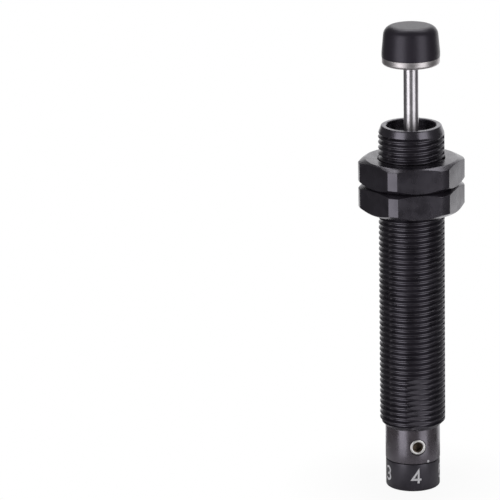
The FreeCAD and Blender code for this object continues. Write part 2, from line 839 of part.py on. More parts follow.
def make_cap():
    """Steel seat pressed on the rod's end, and the soft bumper that snaps over its barbed stud."""
    turned(
        "cap_seat",
        [
            ("rod_radius", "seat_foot"),
            ("seat_diameter / 2 - seat_round", "seat_foot"),
            ("seat_diameter / 2 - seat_ease", "seat_foot + seat_ease"),
            ("seat_diameter / 2", "seat_foot + seat_round"),
            ("seat_diameter / 2", "seat_top"),
            ("stud_diameter / 2", "seat_top"),
            ("stud_diameter / 2", "barb_foot"),
            ("barb_diameter / 2", "barb_foot"),
            ("stud_tip_diameter / 2", "stud_top"),
            ("0", "stud_top"),
            ("0", "rod_top"),
            ("rod_radius", "rod_top"),
        ],
    )
    body = turned(
        "bumper_cap",
        [
            ("stud_diameter / 2", "seat_top"),
            ("cap_skirt_radius", "seat_top"),
            ("cap_top_radius", "cap_top"),
            ("0", "cap_top"),
            ("0", "stud_top"),
            ("stud_tip_diameter / 2", "stud_top"),
            ("barb_diameter / 2", "barb_foot"),
            ("stud_diameter / 2", "barb_foot"),
        ],
    )
    round_edge(body, "cap_crown_round", "cap_top_radius", "cap_top", "cap_round")


def make_nut(name, foot, turn):
    """Thin hexagon nut: bar stock, corners turned down, both faces chamfered, bore countersunk."""
    top = f"({foot} + nut_thickness)"
    body = new_body(name)
    bar = new_sketch(body, f"{name}_hexagon", "XY_Plane", raised(foot, turn))
    draw_hexagon(bar, "nut_across")
    extruded(body, "Pad", bar, f"{name}_bar", "nut_thickness")
    corner = "nut_corner_diameter / 2"
    face = "nut_face_diameter / 2"
    drop = f"({corner} - {face}) * tan(nut_chamfer_angle)"
    turned_cut(
        body,
        f"{name}_chamfers",
        [
            (face, foot),
            ("nut_across", foot),
            ("nut_across", top),
            (face, top),
            (corner, f"{top} - {drop}"),
            (corner, f"{foot} + {drop}"),
        ],
    )
    sink = "nut_countersink / 2 - nut_bore_radius"
    turned_cut(
        body,
        f"{name}_bore",
        [
            ("0", foot),
            ("nut_countersink / 2", foot),
            ("nut_bore_radius", f"{foot} + {sink}"),
            ("nut_bore_radius", f"{top} - ({sink})"),
            ("nut_countersink / 2", top),
            ("0", top),
        ],
    )


make_outer_tube()
make_dial()
make_spindle()
o_ring("spindle_o_ring", "spindle_floor_radius", "spindle_groove_foot")
make_lock_screw()
make_valve_seat()
make_pressure_tube()
make_rod_bearing()
make_gland()
make_snap_ring()
make_piston_rod()
make_piston()
make_return_spring()
make_cap()
make_nut("front_nut", "front_nut_foot", "front_nut_turn")
make_nut("rear_nut", "rear_nut_foot", "rear_nut_turn")
doc.recompute()

PIECES = [
    "outer_tube",
    "adjusting_dial",
    "adjusting_spindle",
    "spindle_o_ring",
    "lock_screw",
    "valve_seat",
    "valve_seat_o_ring",
    "pressure_tube",
    "rod_bearing",
    "accumulator_foam",
    "gland",
    "gland_o_ring",
    "rod_seal",
    "wiper_ring",
    "snap_ring",
    "piston_rod",
    "piston_clip",
    "piston",
    "piston_check_ring",
    "return_spring",
    "cap_seat",
    "bumper_cap",
    "front_nut",
    "rear_nut",
]

for item in doc.Objects:
    if {"Invalid", "Error"} & set(item.State):
        raise RuntimeError(f"{item.Name} failed: {item.State}")
    if item.TypeId in ("PartDesign::Pocket", "PartDesign::Groove"):
        before = item.BaseFeature.Shape.Volume
        if not item.Shape.Volume < before - SAME**2:
            raise RuntimeError(f"{item.Name} cuts nothing")

os.makedirs("parts", exist_ok=True)
for name in PIECES:
    piece = doc.getObject(name)
    piece.Label = name
    if piece.Shape.isNull() or not piece.Shape.isValid() or len(piece.Shape.Solids) != 1:
        raise RuntimeError(f"{name} isn't one sound solid")
    piece.Shape.exportStep(f"parts/{name}.step")
print(f"{len(PIECES)} pieces")
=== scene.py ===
import math

import bmesh
import bpy
from mathutils import Matrix, Vector


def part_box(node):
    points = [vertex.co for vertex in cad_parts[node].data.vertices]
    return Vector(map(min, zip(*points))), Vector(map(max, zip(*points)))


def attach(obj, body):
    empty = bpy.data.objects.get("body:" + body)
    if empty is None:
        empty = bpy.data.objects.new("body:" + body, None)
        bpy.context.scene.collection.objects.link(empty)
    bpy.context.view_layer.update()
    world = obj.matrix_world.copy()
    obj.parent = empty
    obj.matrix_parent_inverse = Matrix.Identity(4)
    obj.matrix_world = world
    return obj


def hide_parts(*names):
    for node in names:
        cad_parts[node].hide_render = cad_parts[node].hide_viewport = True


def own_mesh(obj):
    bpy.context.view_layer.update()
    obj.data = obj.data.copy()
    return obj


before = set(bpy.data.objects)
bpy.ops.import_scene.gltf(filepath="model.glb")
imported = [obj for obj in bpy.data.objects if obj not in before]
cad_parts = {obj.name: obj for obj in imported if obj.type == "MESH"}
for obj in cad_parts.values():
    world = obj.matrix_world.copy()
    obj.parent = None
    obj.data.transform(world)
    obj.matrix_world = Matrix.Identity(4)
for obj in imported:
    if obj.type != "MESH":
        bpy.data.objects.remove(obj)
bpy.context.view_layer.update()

# Outer tube.
# The absorber's case is a steel tube, turned and bored from the front, with an M12x1 thread cut
# over its whole length, a plain collar at the rear and two milled flats. Its finish is black oxide.

MM = 0.001
COLUMNS = 96
WELD_REACH = 0.00001
TUBE_COLUMNS = 144
TUBE_FOOT, TUBE_RIM = (corner.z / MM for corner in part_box("outer_tube"))
TUBE_THREAD_FOOT = 11.7
TUBE_FLOOR = 13.0
TUBE_BORE = 4.5
TUBE_TAIL_BORE = 3.02
TUBE_COLLAR = 5.0
TUBE_MOUTH = 4.65
TUBE_FOOT_ROUND = 0.15
TUBE_TAIL_ROUND = 0.05
TUBE_MOUTH_ROUND = 0.04
TUBE_COLLAR_ROUND = 0.06
NOSE_RADIUS = 5.55
NOSE_ROUND = 0.3
NOSE_SLOPE = 0.375
NOSE_LENGTH = 1.0
NOSE_RUN_OUT = 2
NOSE_SMOOTH = 1.5
NOSE_FOOT = TUBE_RIM - NOSE_SMOOTH
RING_GROOVE_RADIUS = 4.85
RING_GROOVE_FOOT, RING_GROOVE_TOP = 65.4, 66.0
FLATS_APART = 11.0
FLATS_TOP = 22.0
MILL_REACH = 8
MILL_START = TUBE_THREAD_FOOT - 0.5
SCREW_SIDE = math.radians(11.1 - 90)
SCREW_LEVEL = 8.52
SCREW_HOLE = 1.53
SCREW_ROW = 0.2
DRILL_START, DRILL_END = 2.5, 6
DRILL_COLUMNS = 64

THREAD_PITCH = 1.0
THREAD_CREST = 5.97
THREAD_ROOT = 5.385
THREAD_CREST_FLAT = 0.14
THREAD_ROOT_FLAT = 0.18
THREAD_CREST_ROUND = 0.05
THREAD_ROOT_ROUND = 0.09
THREAD_TURN = math.radians(-29)
THREAD_FINE = 0.04

BLACK = (0.011, 0.0095, 0.0128)
BLACK_LIGHT = (0.0165, 0.0145, 0.019)
BLACK_SHEEN = (0.91, 0.86, 1.0)
# Light colour for sharply convex edges: partly worn steel, partly painted highlight.
RUBBED_EDGE_AND_HIGHLIGHT = (0.16, 0.15, 0.165)
RUBBED_EDGE_AND_HIGHLIGHT_SHARE = 0.6
CLOUD_SIZE = 2.5
WEAR_AND_HIGHLIGHT_SIZE = 0.4
OXIDE_LINES = 0.09
OXIDE_PITS = 0.12
COLLAR_BROWN = (0.034, 0.027, 0.03)
COLLAR_TOP = TUBE_THREAD_FOOT - 0.05


def filleted(corners, steps=4):
    """Round the corners of an outline: each is (across, up) or (across, up, radius)."""
    points = []
    for place, corner in enumerate(corners):
        here = Vector(corner[:2])
        if len(corner) < 3:
            points.append(here)
            continue
        back = (Vector(corners[place - 1][:2]) - here).normalized()
        ahead = (Vector(corners[(place + 1) % len(corners)][:2]) - here).normalized()
        half = back.angle(ahead) / 2
        reach = corner[2] / math.tan(half)
        centre = here + (back + ahead).normalized() * (corner[2] / math.sin(half))
        first = here + back * reach - centre
        swing = math.pi - 2 * half
        if back.x * ahead.y - back.y * ahead.x > 0:
            swing = -swing
        for step in range(steps + 1):
            points.append(centre + Matrix.Rotation(swing * step / steps, 2) @ first)
    return [(point.x, point.y) for point in points]


def all_round(count):
    """Angles spread evenly round a circle."""
    return [math.tau * step / count for step in range(count)]


def turned(name, outline_at, angles=all_round(COLUMNS), closed=True):
    """Skin a form round the Z axis. outline_at(angle) gives its (radius, level) points in mm."""
    points = []
    for angle in angles:
        across, along = math.cos(angle) * MM, math.sin(angle) * MM
        points += [(radius * across, radius * along, level * MM) for radius, level in outline_at(angle)]
    columns = len(angles)
    rows = len(points) // columns
    faces = []
    for column in range(columns):
        here, after = column * rows, (column + 1) % columns * rows
        for row in range(rows if closed else rows - 1):
            above = (row + 1) % rows
            faces.append((here + row, after + row, after + above, here + above))
    mesh = bpy.data.meshes.new(name)
    mesh.from_pydata(points, [], faces)
    piece = bpy.data.objects.new(name, mesh)
    bpy.context.scene.collection.objects.link(piece)
    weld(piece)
    return piece


def weld(piece, crease=35):
    """Join points that coincide, face the skin outwards, and shade it smooth up to a crease angle."""
    skin = bmesh.new()
    skin.from_mesh(piece.data)
    bmesh.ops.remove_doubles(skin, verts=skin.verts, dist=WELD_REACH * MM)
    bmesh.ops.dissolve_degenerate(skin, edges=skin.edges, dist=WELD_REACH * MM)
    bmesh.ops.recalc_face_normals(skin, faces=skin.faces)
    skin.to_mesh(piece.data)
    skin.free()
    piece.data.shade_smooth()
    piece.data.set_sharp_from_angle(angle=math.radians(crease))


def cut(piece, cutter):
    """Cut one closed form out of another and throw the cutter away."""
    saw = piece.modifiers.new("saw", "BOOLEAN")
    saw.operation = "DIFFERENCE"
    saw.solver = "EXACT"
    saw.object = cutter
    finished = piece.evaluated_get(bpy.context.evaluated_depsgraph_get())
    piece.data = bpy.data.meshes.new_from_object(finished)
    piece.modifiers.clear()
    bpy.data.objects.remove(cutter)
    weld(piece)


def block(name, low, high):
    """A closed block between two corners in mm."""
    across, along, up = zip(low, high)
    corners = [(x * MM, y * MM, z * MM) for x in across for y in along for z in up]
    sides = [(0, 1, 3, 2), (4, 6, 7, 5), (0, 4, 5, 1), (2, 3, 7, 6), (0, 2, 6, 4), (1, 5, 7, 3)]
    mesh = bpy.data.meshes.new(name)
    mesh.from_pydata(corners, [], sides)
    piece = bpy.data.objects.new(name, mesh)
    bpy.context.scene.collection.objects.link(piece)
    return piece


def thread_rows(low, high, fine):
    """Levels and radii of the thread's section between two levels, one pitch after another.

    Near both ends the levels are at most fine apart, so that the thread runs out smoothly there.
    """
    flank = (THREAD_PITCH - THREAD_CREST_FLAT - THREAD_ROOT_FLAT) / 2
    foot = THREAD_ROOT_FLAT / 2
    one = filleted(
        [
            (0, THREAD_ROOT),
            (foot, THREAD_ROOT, THREAD_ROOT_ROUND),
            (foot + flank, THREAD_CREST, THREAD_CREST_ROUND),
            (foot + flank + THREAD_CREST_FLAT, THREAD_CREST, THREAD_CREST_ROUND),
            (foot + 2 * flank + THREAD_CREST_FLAT, THREAD_ROOT, THREAD_ROOT_ROUND),
            (THREAD_PITCH, THREAD_ROOT),
        ],
        steps=3,
    )[:-1]
    rows = []
    start = math.floor(low) - 1
    for pitch in range(start, math.ceil(high) + 1):
        for place, (rise, radius) in enumerate(one):
            rows.append((pitch + rise, radius))
            after = one[place + 1] if place + 1 < len(one) else (THREAD_PITCH, THREAD_ROOT)
            if min(pitch - low, high - pitch) < 2 * THREAD_PITCH and after[0] - rise > fine:
                steps = math.ceil((after[0] - rise) / fine)
                for step in range(1, steps):
                    share = step / steps
                    level = pitch + rise + (after[0] - rise) * share
                    rows.append((level, radius + (after[1] - radius) * share))
    return rows


TUBE_ROOT_FOOT = TUBE_THREAD_FOOT + THREAD_ROOT - TUBE_COLLAR
TUBE_ROOT_TOP = TUBE_RIM - NOSE_ROUND
TUBE_ROWS = thread_rows(TUBE_ROOT_FOOT, TUBE_ROOT_TOP, THREAD_FINE)
TUBE_BEFORE = filleted(
    [
        (TUBE_TAIL_BORE, TUBE_FLOOR),
        (TUBE_TAIL_BORE, TUBE_FOOT, TUBE_TAIL_ROUND),
        (TUBE_COLLAR, TUBE_FOOT, TUBE_FOOT_ROUND),
        *((TUBE_COLLAR, SCREW_LEVEL + step * SCREW_ROW) for step in range(-8, 9)),
        (TUBE_COLLAR, TUBE_THREAD_FOOT, TUBE_COLLAR_ROUND),
        (THREAD_ROOT, TUBE_ROOT_FOOT),
    ]
)
TUBE_AFTER = filleted(
    [
        (NOSE_RADIUS, TUBE_ROOT_TOP),
        (NOSE_RADIUS - NOSE_ROUND * NOSE_SLOPE, TUBE_RIM, NOSE_ROUND),
        (TUBE_MOUTH, TUBE_RIM, TUBE_MOUTH_ROUND),
        (TUBE_BORE, TUBE_RIM - (TUBE_MOUTH - TUBE_BORE), TUBE_MOUTH_ROUND),
        (TUBE_BORE, RING_GROOVE_TOP),
        (RING_GROOVE_RADIUS, RING_GROOVE_TOP),
        (RING_GROOVE_RADIUS, RING_GROOVE_FOOT),
        (TUBE_BORE, RING_GROOVE_FOOT),
        (TUBE_BORE, TUBE_FLOOR),
    ]
)


def thread_lead(angle):
    """How far the thread has risen at one angle."""
    return THREAD_PITCH * (angle - THREAD_TURN) / math.tau


def tube_thread(angle):
    """The thread at one angle, under the lead-in cone below and run out in the plain nose above."""
    skin = []
    for level, radius in TUBE_ROWS:
        level = min(max(level + thread_lead(angle), TUBE_ROOT_FOOT), TUBE_ROOT_TOP)
        down = TUBE_ROOT_TOP - level
        cone = min(THREAD_ROOT + level - TUBE_ROOT_FOOT, NOSE_RADIUS + NOSE_SLOPE * down)
        filled = THREAD_CREST - NOSE_RUN_OUT * max(down - NOSE_LENGTH, 0)
        skin.append((min(max(radius, filled), cone), level))
    return skin


def tube_outline(angle):
    """The whole section of the tube at one angle."""
    return TUBE_BEFORE + tube_thread(angle) + TUBE_AFTER


tube = turned("threaded_case", tube_outline, all_round(TUBE_COLUMNS))
for side in (-1, 1):
    flat, far = side * FLATS_APART / 2, side * MILL_REACH
    mill = block("mill", (-MILL_REACH, min(flat, far), MILL_START), (MILL_REACH, max(flat, far), FLATS_TOP))
    mill.data.transform(Matrix.Rotation(SCREW_SIDE + math.pi / 2, 4, "Z"))
    cut(tube, mill)
DRILL_OUTLINE = [(0, DRILL_START), (SCREW_HOLE, DRILL_START), (SCREW_HOLE, DRILL_END), (0, DRILL_END)]
drill = turned("drill", lambda angle: DRILL_OUTLINE, all_round(DRILL_COLUMNS))
OUTWARD = Matrix.Translation((0, 0, SCREW_LEVEL * MM)) @ Matrix.Rotation(SCREW_SIDE, 4, "Z")
OUTWARD = OUTWARD @ Matrix.Rotation(math.pi / 2, 4, "Y")
drill.data.transform(OUTWARD)
cut(tube, drill)


def node_group(name, takes, gives):
    """Start a shader node group with named inputs (and their values) and named outputs."""
    group = bpy.data.node_groups.new(name, "ShaderNodeTree")
    for label, number in takes.items():
        socket = group.interface.new_socket(label, in_out="INPUT", socket_type="NodeSocketFloat")
        socket.default_value = number
    for label in gives:
        group.interface.new_socket(label, in_out="OUTPUT", socket_type="NodeSocketFloat")
    return group, group.nodes.new("NodeGroupInput"), group.nodes.new("NodeGroupOutput")


def join(tree, source, target):
    """Link two sockets, each given as (node, socket name or number)."""
    tree.links.new(source[0].outputs[source[1]], target[0].inputs[target[1]])


def math_node(tree, operation, first, second=None):
    """A math node fed by numbers or by (node, socket) pairs."""
    node = tree.nodes.new("ShaderNodeMath")
    node.operation = operation
    for place, fed in enumerate((first, second)):
        if isinstance(fed, tuple):
            join(tree, fed, (node, place))
        elif fed is not None:
            node.inputs[place].default_value = fed
    return node, 0


def spread(tree, fed, low, high, new_low=0.0, new_high=1.0):
    """Map a range of a value to another range, and hold it there."""
    node = tree.nodes.new("ShaderNodeMapRange")
    join(tree, fed, (node, "Value"))
    for label, number in (("From Min", low), ("From Max", high), ("To Min", new_low), ("To Max", new_high)):
        if isinstance(number, tuple):
            join(tree, number, (node, label))
        else:
            node.inputs[label].default_value = number
    return node, "Result"


def make_grain():
    """Fine random grain in the piece's own space. Size is in millimetres."""
    group, given, result = node_group("Fine grain", {"Size": 0.2, "Roughness": 0.6, "Detail": 5}, ["Grain"])
    place = group.nodes.new("ShaderNodeTexCoord")
    noise = group.nodes.new("ShaderNodeTexNoise")
    join(group, (given, "Detail"), (noise, "Detail"))
    join(group, (place, "Object"), (noise, "Vector"))
    join(group, math_node(group, "DIVIDE", 1 / MM, (given, "Size")), (noise, "Scale"))
    join(group, (given, "Roughness"), (noise, "Roughness"))
    join(group, (noise, "Fac"), (result, "Grain"))
    return group


def make_lathe_lines():
    """Lines that a tool leaves round the Z axis, on faces as on cylinders. Pitch is in millimetres."""
    group, given, result = node_group("Lathe lines", {"Pitch": 0.1, "Break": 0.15}, ["Lines"])
    place = group.nodes.new("ShaderNodeTexCoord")
    parts = group.nodes.new("ShaderNodeSeparateXYZ")
    join(group, (place, "Object"), (parts, 0))
    squares = [math_node(group, "MULTIPLY", (parts, side), (parts, side)) for side in ("X", "Y")]
    radius = math_node(group, "SQRT", math_node(group, "ADD", *squares))
    turn = math_node(group, "ARCTAN2", (parts, "Y"), (parts, "X"))
    around = math_node(group, "MULTIPLY", turn, (given, "Break"))
    scale = math_node(group, "DIVIDE", 1 / MM, (given, "Pitch"))
    across = group.nodes.new("ShaderNodeCombineXYZ")
    join(group, math_node(group, "MULTIPLY", radius, scale), (across, "X"))
    join(group, math_node(group, "MULTIPLY", (parts, "Z"), scale), (across, "Y"))
    join(group, around, (across, "Z"))
    noise = group.nodes.new("ShaderNodeTexNoise")
    noise.inputs["Scale"].default_value = 1
    noise.inputs["Detail"].default_value = 2
    join(group, (across, "Vector"), (noise, "Vector"))
    join(group, (noise, "Fac"), (result, "Lines"))
    return group


def make_edge_wear_and_highlight():
    """A mask of worn edges and painted highlight: where the surface is sharply convex, broken up by grain.
    """
    group, given, result = node_group("Edge wear and highlight", {"Start": 0.53, "End": 0.62, "Size": 0.5}, ["Mask"])
    shape = group.nodes.new("ShaderNodeNewGeometry")
    edge = spread(group, (shape, "Pointiness"), (given, "Start"), (given, "End"))
    place = group.nodes.new("ShaderNodeTexCoord")
    noise = group.nodes.new("ShaderNodeTexNoise")
    noise.inputs["Detail"].default_value = 4
    join(group, (place, "Object"), (noise, "Vector"))
    join(group, math_node(group, "DIVIDE", 1 / MM, (given, "Size")), (noise, "Scale"))
    broken = spread(group, (noise, "Fac"), 0.35, 0.6)
    join(group, math_node(group, "MULTIPLY", edge, broken), (result, "Mask"))
    return group


GRAIN = make_grain()
LATHE_LINES = make_lathe_lines()
EDGE_WEAR_AND_HIGHLIGHT = make_edge_wear_and_highlight()


class Finish:
    """A material in the making: its node tree, its Principled shader and short ways to feed them."""

    def __init__(self, name, colour, roughness, metallic=0.0, ior=1.5):
        self.material = bpy.data.materials.new(name)
        self.material.use_nodes = True
        self.tree = self.material.node_tree
        self.shader = self.tree.nodes["Principled BSDF"]
        self.shader.inputs["Base Color"].default_value = (*colour, 1)
        self.shader.inputs["Roughness"].default_value = roughness
        self.shader.inputs["Metallic"].default_value = metallic
        self.shader.inputs["IOR"].default_value = ior

    def effect(self, group, **numbers):
        """Place a node group with its own values."""
        node = self.tree.nodes.new("ShaderNodeGroup")
        node.node_tree = group
        for label, number in numbers.items():
            node.inputs[label].default_value = number
        return node, 0

    def blend(self, mask, low, high):
        """A colour that goes from low to high with a mask; either may be fed by a node."""
        node = self.tree.nodes.new("ShaderNodeMix")
        node.data_type = "RGBA"
        join(self.tree, mask, (node, 0))
        for place, colour in ((6, low), (7, high)):
            if len(colour) == 2:
                self.tree.links.new(colour[0].outputs[colour[1]], node.inputs[place])
            else:
                node.inputs[place].default_value = (*colour, 1)
        return node, 2

    def feed(self, label, source):
        """Drive one of the shader's sockets."""
        join(self.tree, source, (self.shader, label))

    def bump(self, *layers):
        """Stack heights, each (source, depth in millimetres), into the shader's normal."""
        below = None
        for source, depth in layers:
            node = self.tree.nodes.new("ShaderNodeBump")
            node.inputs["Distance"].default_value = depth * MM
            join(self.tree, source, (node, "Height"))
            if below:
                join(self.tree, (below, "Normal"), (node, "Normal"))
            below = node
        join(self.tree, (below, "Normal"), (self.shader, "Normal"))


def wear(piece, finish):
    """Give a piece its finish as its only material."""
    piece.data.materials.clear()
    piece.data.materials.append(finish.material)


def black_oxide(name, ior, roughness, lines, pits, even=None):
    """Black oxide over turned steel: uneven black, and edges lighter as wear and painted highlight.

    Lines and pits are the depths of the lathe's lines and of the oxide's grain, in millimetres.
    An even colour, where one is given, takes the place of the uneven black.
    """
    finish = Finish(name, even or BLACK, roughness, ior=ior)
    finish.shader.inputs["Specular Tint"].default_value = (*BLACK_SHEEN, 1)
    cloud = finish.effect(GRAIN, Size=CLOUD_SIZE, Detail=1)
    fine = finish.effect(GRAIN, Size=OXIDE_PITS)
    turning = finish.effect(LATHE_LINES, Pitch=OXIDE_LINES)
    if not even:
        # Convex edges are painted lighter: partly wear, partly painted highlight.
        rubbed_and_highlit = finish.effect(EDGE_WEAR_AND_HIGHLIGHT, Start=0.52, End=0.62, Size=WEAR_AND_HIGHLIGHT_SIZE)
        base = finish.blend(spread(finish.tree, cloud, 0.35, 0.65), BLACK, BLACK_LIGHT)
        light = math_node(finish.tree, "MULTIPLY", rubbed_and_highlit, RUBBED_EDGE_AND_HIGHLIGHT_SHARE)
        finish.feed("Base Color", finish.blend(light, base, RUBBED_EDGE_AND_HIGHLIGHT))
    finish.feed("Roughness", spread(finish.tree, cloud, 0.3, 0.7, roughness - 0.05, roughness + 0.06))
    finish.bump((turning, lines), (fine, pits))
    return finish


case_black = black_oxide("black_oxide_steel", 1.8, 0.31, 0.0015, 0.0008)
collar_black = black_oxide("smoother_black_collar", 2.1, 0.28, 0.0015, 0.0008, COLLAR_BROWN)
nose_black = black_oxide("smoother_black_nose", 2.0, 0.25, 0.0015, 0.0008)
wear(tube, case_black)
tube.data.materials.append(collar_black.material)
tube.data.materials.append(nose_black.material)
for face in tube.data.polygons:
    level = face.center.z / MM
    face.material_index = 1 if level < COLLAR_TOP else 2 if level > NOSE_FOOT else 0
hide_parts("outer_tube")
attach(tube, "housing")

# Valve parts, pressure tube, piston and gland.
# Turned steel pieces that stack up inside the bore between its floor and the snap ring. They are
# left bare, with the lathe's lines on them.

STEEL = (0.56, 0.56, 0.57)
STEEL_DARKER = 0.82
STEEL_CLOUD = 1.5


def bare_steel(name, colour, roughness, lines, pitch=0.12):
    """Turned bare steel: metal whose lathe lines and faint clouds change the gloss."""
    finish = Finish(name, colour, roughness, metallic=1.0)
    turning = finish.effect(LATHE_LINES, Pitch=pitch)
    cloud = finish.effect(GRAIN, Size=STEEL_CLOUD, Detail=1)
    darker = tuple(STEEL_DARKER * part for part in colour)
    finish.feed("Base Color", finish.blend(spread(finish.tree, cloud, 0.3, 0.7), darker, colour))
    finish.feed("Roughness", spread(finish.tree, turning, 0.3, 0.7, roughness - 0.06, roughness + 0.08))
    finish.bump((turning, lines))
    return finish


def dress(names, finish):
    """Give CAD nodes their finish."""
    for name in names:
        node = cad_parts[name]
        node.data.materials.clear()
        node.data.materials.append(finish.material)


machined = bare_steel("machined_steel", STEEL, 0.3, 0.004)
dress(["adjusting_spindle", "valve_seat", "pressure_tube", "piston", "gland"], machined)

# Rod bearing.
# A bronze bush that guides the rod and closes the pressure tube with its flange. Its nose reaches
# up through the foam.

BRONZE = (0.6, 0.38, 0.19)
bronze = bare_steel("bearing_bronze", BRONZE, 0.32, 0.004)
dress(["rod_bearing"], bronze)

# O-rings, rod seal and wiper.
# Moulded nitrile rubber. The O-rings are squeezed into grooves, and the seal and the wiper are
# pushed into pockets of the gland.

RUBBER = (0.018, 0.018, 0.018)
RUBBER_GRAIN = 0.15
RUBBER_DEPTH = 0.004
seal = Finish("seal_rubber", RUBBER, 0.55)
seal_grain = seal.effect(GRAIN, Size=RUBBER_GRAIN)
seal.feed("Roughness", spread(seal.tree, seal_grain, 0.3, 0.7, 0.48, 0.62))
seal.bump((seal_grain, RUBBER_DEPTH))
dress(["spindle_o_ring", "valve_seat_o_ring", "gland_o_ring", "rod_seal", "wiper_ring"], seal)

# Accumulator foam.
# A sleeve of closed-cell foam rubber round the bearing's nose, full of fine cells. It gives way to
# the oil that the rod pushes out.

FOAM = (0.05, 0.05, 0.05)
FOAM_DARK = (0.035, 0.035, 0.035)
FOAM_LIGHT = (0.075, 0.075, 0.075)
FOAM_CELL = 0.35
FOAM_DEPTH = 0.15
foam = Finish("accumulator_foam", FOAM, 0.85)
cells = foam.tree.nodes.new("ShaderNodeTexVoronoi")
cells.inputs["Scale"].default_value = 1 / (FOAM_CELL * MM)
foam_place = foam.tree.nodes.new("ShaderNodeTexCoord")
join(foam.tree, (foam_place, "Object"), (cells, "Vector"))
foam.feed("Base Color", foam.blend((cells, "Distance"), FOAM_DARK, FOAM_LIGHT))
foam.bump(((cells, "Distance"), FOAM_DEPTH))
dress(["accumulator_foam"], foam)

# Snap ring, piston clip and check ring.
# Split rings of hard spring steel that snap into grooves. The snap ring has two eyes for its
# pliers.

SPRING_STEEL = (0.3, 0.3, 0.31)
spring_steel = bare_steel("spring_steel", SPRING_STEEL, 0.3, 0.002, 0.3)
dress(["snap_ring", "piston_clip", "piston_check_ring"], spring_steel)

# Return spring.
# A light coil spring of hard wire that pushes the piston back up. Its end turns lie flat on the
# valve seat and under the piston.

SPRING_WIRE = 0.25
SPRING_RADIUS = 2.45
SPRING_TURNS = 6
SPRING_FLAT_TURNS = 0.5
SPRING_STEPS = 32
SPRING_SIDES = 12
SPRING_FOOT, SPRING_TOP = (corner.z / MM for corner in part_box("return_spring"))


def coil(name):
    """Sweep a round wire along a helix whose first and last turns lie flat."""
    length = SPRING_TURNS + 2 * SPRING_FLAT_TURNS
    count = int(length * SPRING_STEPS)
    low, high = SPRING_FOOT + SPRING_WIRE, SPRING_TOP - SPRING_WIRE
    points, faces = [], []
    for step in range(count + 1):
        turn = step / SPRING_STEPS
        share = min(max((turn - SPRING_FLAT_TURNS) / SPRING_TURNS, 0), 1)
        level = low + (high - low) * share
        for side in range(SPRING_SIDES):
            wire = math.tau * side / SPRING_SIDES
            radius = SPRING_RADIUS + SPRING_WIRE * math.cos(wire)
            angle = math.tau * turn
            points.append((
                radius * math.cos(angle) * MM,
                radius * math.sin(angle) * MM,
                (level + SPRING_WIRE * math.sin(wire)) * MM,
            ))
    for step in range(count):
        for side in range(SPRING_SIDES):
            here, after = step * SPRING_SIDES, (step + 1) * SPRING_SIDES
            beside = (side + 1) % SPRING_SIDES
            faces.append((here + side, here + beside, after + beside, after + side))
    faces.append(tuple(range(SPRING_SIDES)))
    faces.append(tuple(range(count * SPRING_SIDES, (count + 1) * SPRING_SIDES)))
    mesh = bpy.data.meshes.new(name)
    mesh.from_pydata(points, [], faces)
    piece = bpy.data.objects.new(name, mesh)
    bpy.context.scene.collection.objects.link(piece)
    weld(piece)
    return piece


spring = coil("coil_spring")
wear(spring, spring_steel)
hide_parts("return_spring")
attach(spring, "housing")
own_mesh(spring)

# Adjusting dial.
# A black anodised ring pressed on the spindle. Its five settings are marked round it in plain
# light numbers, and turning it changes how hard the absorber damps.

DIAL_RADIUS = 4.95
DIAL_BORE = 2.2
DIAL_EDGE = 0.32
DIAL_TOP_EDGE = 0.14
DIAL_COLUMNS = 128
DIAL_FOOT, DIAL_TOP = (corner.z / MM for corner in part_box("adjusting_dial"))
DIGIT_HEIGHT = 2.82
DIGIT_FOOT = 1.4
DIGIT_PROUD = 0.012
DIGIT_STROKE = 0.16
DIGIT_FIRST = 8.4
DIGIT_STEP = 72
DIGIT_SLICE = 1 / 18
DIGITS = "43215"
MARK = (0.78, 0.77, 0.8)
MARK_WORN = (0.5, 0.49, 0.52)
MARK_GRAIN = 0.2
MARK_DEPTH = 0.003

DIAL_OUTLINE = filleted(
    [
        (DIAL_BORE, DIAL_FOOT),
        (DIAL_RADIUS, DIAL_FOOT, DIAL_EDGE),
        (DIAL_RADIUS, DIAL_TOP, DIAL_TOP_EDGE),
        (DIAL_BORE, DIAL_TOP),
    ],
    steps=6,
)
dial = turned("numbered_dial", lambda angle: DIAL_OUTLINE, all_round(DIAL_COLUMNS))
dial_black = black_oxide("black_dial", 1.7, 0.34, 0.0015, 0.0008)
wear(dial, dial_black)
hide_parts("adjusting_dial")
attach(dial, "dial")

mark = Finish("light_mark", MARK, 0.5)
mark_grain = mark.effect(GRAIN, Size=MARK_GRAIN)
mark.feed("Base Color", mark.blend(spread(mark.tree, mark_grain, 0.3, 0.62), MARK_WORN, MARK))
mark.bump((mark_grain, MARK_DEPTH))


def bow(centre, across, up, start, end, steps=14):
    """Points along part of an ellipse, from one angle to another in degrees."""
    points = []
    for step in range(steps + 1):
        angle = math.radians(start + (end - start) * step / steps)
        points.append((centre[0] + across * math.cos(angle), centre[1] + up * math.sin(angle)))
    return points


DIGIT_STROKES = {
    "1": [[(-0.2, 0.8), (0.04, 1), (0.04, 0)]],
    "2": [bow((0, 0.7), 0.27, 0.3, 165, -25) + [(-0.3, 0), (0.31, 0)]],
    "3": [bow((-0.02, 0.75), 0.25, 0.25, 150, -80) + bow((-0.02, 0.26), 0.29, 0.26, 80, -150)],
    "4": [[(0.13, 0), (0.13, 1), (-0.34, 0.3), (0.08, 0.3)], [(0.18, 0.3), (0.35, 0.3)]],
    "5": [[(0.26, 1), (-0.21, 1), (-0.25, 0.52)] + bow((0, 0.33), 0.29, 0.33, 140, -150)],
}


